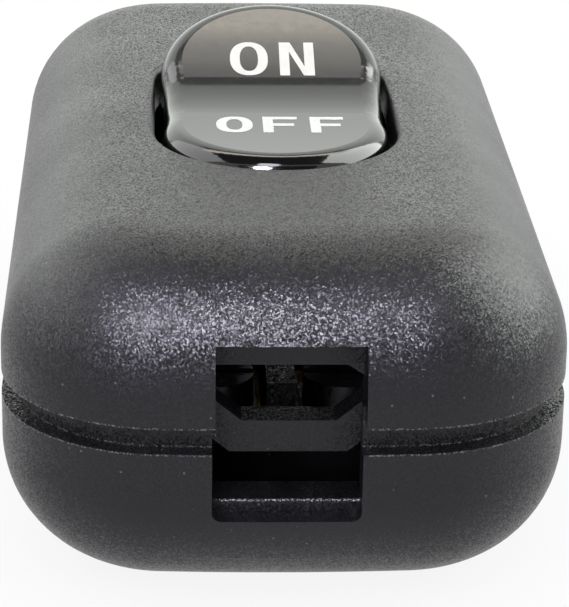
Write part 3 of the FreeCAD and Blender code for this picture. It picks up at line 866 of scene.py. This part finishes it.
@dataclass
class Studio:
    """A pale floor, softboxes and a camera where the photograph was taken from.

    Three dark flags, behind, above and in front, keep the white surroundings out of the
    gloss there. The camera's place, its angles in radians and its focal length were fitted
    to the switch's outline, its groove and its cord window in the picture.
    """

    eye_mm: tuple[float, float, float] = (-6.76405, -158.25134, 69.07676)
    pitch: float = 0.37648
    yaw: float = 0.04833
    roll: float = 0.01851
    focal_px: float = 2836.796
    sensor_mm: float = 36.0
    clip_near: float = 0.01
    clip_far: float = 20.0
    floor_half: float = 2.5
    floor_drop_mm: float = 0.02
    floor_white: float = 0.88
    floor_colour: str = "f8f8fc"
    floor_specular: float = 0.2
    floor_roughness_low: float = 0.85
    floor_roughness_high: float = 0.95
    floor_grain_mm: float = 2.5
    fill_level: float = 1.05
    # Azimuth, elevation, distance, width and height, level low and high, colour, bulge
    boxes: tuple[Softbox, ...] = (
        Softbox("sheet_behind", 0.0, 24.5, 1500.0, (2400.0, 1304.0), 2.25, 1.6, "f9fdf8"),
        Softbox("flag_behind", 0.0, 51.0, 1560.0, (2600.0, 190.0), 0.5, 0.5),
        Softbox("strip_behind", 0.0, 54.8, 1200.0, (1300.0, 42.0), 2.3, 2.6, "fffcf6"),
        Softbox("strip_above", 0.0, 59.9, 1200.0, (1300.0, 170.0), 5.8, 5.8, "fff8ea"),
        Softbox("sheet_right", 72.0, 34.0, 1200.0, (1250.0, 1300.0), 7.0, 7.0, "fcfffa"),
        Softbox("sheet_left", -70.0, 32.0, 1200.0, (1250.0, 1100.0), 3.2, 3.2),
        Softbox("softbox_front", 198.0, 45.0, 1000.0, (270.0, 330.0), 125.0, 60.0, "f0eeff", 2.4),
        Softbox("softbox_high", 193.0, 64.0, 1000.0, (290.0, 270.0), 13.0, 13.0, "f0eeff", 2.4),
        Softbox("flag_above", 0.0, 90.0, 1600.0, (2600.0, 1500.0), 0.1, 0.1),
        Softbox("flag_front", 180.0, 32.0, 1700.0, (2400.0, 1700.0), 0.12, 0.12),
    )

    def camera(self) -> None:
        """Set up the camera: pitch below level, yaw towards +X, roll about the view."""
        cp, sp = math.cos(self.pitch), math.sin(self.pitch)
        cy, sy = math.cos(self.yaw), math.sin(self.yaw)
        ahead = Vector((sy * cp, cy * cp, -sp))
        level = Vector((cy, -sy, 0.0))
        upright = level.cross(ahead)
        right = level * math.cos(self.roll) + upright * math.sin(self.roll)
        up = upright * math.cos(self.roll) - level * math.sin(self.roll)
        lens = bpy.data.cameras.new("camera")
        lens.sensor_width = self.sensor_mm
        lens.lens = self.focal_px / max(IMAGE_WIDTH, IMAGE_HEIGHT) * self.sensor_mm
        lens.clip_start = self.clip_near
        lens.clip_end = self.clip_far
        thing = bpy.data.objects.new("camera", lens)
        turn = Matrix((right, up, -ahead)).transposed().to_4x4()
        thing.matrix_world = Matrix.Translation(Vector(self.eye_mm) * MM) @ turn
        bpy.context.scene.collection.objects.link(thing)
        bpy.context.scene.camera = thing

    def floor(self) -> None:
        """Lay a plain floor of white paper under the switch.

        The rays of seen() get floor_white of it as even white and the rest as lit paper,
        which shows the switch's shadow. It lies a little below the underside, so that the
        two don't flicker.
        """
        material, tree, place = new_material("floor_paper")
        paper = add_node(tree, "ShaderNodeTexNoise",
                         {"Scale": per_metre(self.floor_grain_mm), "Detail": 3.0},
                         {"Vector": place.outputs["Object"]})
        rough = add_node(tree, "ShaderNodeMapRange",
                         {"To Min": self.floor_roughness_low,
                          "To Max": self.floor_roughness_high},
                         {"Value": paper.outputs["Fac"]})
        shader = add_node(tree, "ShaderNodeBsdfPrincipled",
                          {"Base Color": linear(self.floor_colour),
                           "Specular IOR Level": self.floor_specular},
                          {"Roughness": rough.outputs["Result"]})
        white = add_node(tree, "ShaderNodeEmission", {"Color": linear("ffffff"), "Strength": 1.0})
        share = add_node(tree, "ShaderNodeMath", {"operation": "MULTIPLY", 1: self.floor_white},
                         {0: self.seen(tree)})
        mix = add_node(tree, "ShaderNodeMixShader", {},
                       {0: share.outputs[0], 1: shader.outputs[0], 2: white.outputs[0]})
        add_node(tree, "ShaderNodeOutputMaterial", {}, {"Surface": mix.outputs[0]})
        half = self.floor_half
        low = -self.floor_drop_mm * MM
        corners = np.array([(-half, -half, low), (half, -half, low),
                            (half, half, low), (-half, half, low)])
        mesh_piece("floor", corners, [[0, 1, 2, 3]], material)

    def seen(self, tree: bpy.types.NodeTree) -> bpy.types.NodeSocket:
        """Tell the rays that see a white background from the others.

        Args:
            tree: The node tree of the floor or of the world.

        Returns:
            A socket that is 1 for camera, glossy and transmission rays, and 0 for others.
        """
        path = add_node(tree, "ShaderNodeLightPath")
        seen = add_node(tree, "ShaderNodeMath", {"operation": "MAXIMUM"},
                        {0: path.outputs["Is Camera Ray"], 1: path.outputs["Is Glossy Ray"]})
        seen = add_node(tree, "ShaderNodeMath", {"operation": "MAXIMUM"},
                        {0: seen.outputs[0], 1: path.outputs["Is Transmission Ray"]})
        return seen.outputs[0]

    def world(self) -> None:
        """Surround the switch with white: a plain fill light, and white behind everything."""
        world = bpy.data.worlds.new("studio")
        world.use_nodes = True
        tree = world.node_tree
        tree.nodes.clear()
        fill = add_node(tree, "ShaderNodeBackground",
                        {"Color": linear("ffffff"), "Strength": self.fill_level})
        white = add_node(tree, "ShaderNodeBackground", {"Color": linear("ffffff"), "Strength": 1.0})
        mix = add_node(tree, "ShaderNodeMixShader", {},
                       {0: self.seen(tree), 1: fill.outputs[0], 2: white.outputs[0]})
        add_node(tree, "ShaderNodeOutputWorld", {}, {"Surface": mix.outputs[0]})
        bpy.context.scene.world = world

    def build(self) -> None:
        """Build the floor, the light and the camera."""
        bpy.context.scene.view_settings.view_transform = "Standard"
        self.camera()
        self.floor()
        self.world()
        for softbox in self.boxes:
            softbox.build()


def main() -> None:
    """Load the frame, dress every piece and set the scene."""
    logging.basicConfig(level=logging.INFO, format="%(name)s: %(message)s")
    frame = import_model()
    grained = GrainedAbs().build()
    steel = ZINC_STEEL.build()
    Housing().build(grained, steel)
    Rocker().build(PolishedAbs().build(), PRINT_INK.build())
    Mechanism().build()
    Studio().build()
    log.info("%d nodes in the frame", len(frame["nodes"]))


if __name__ == "__main__":
    main()
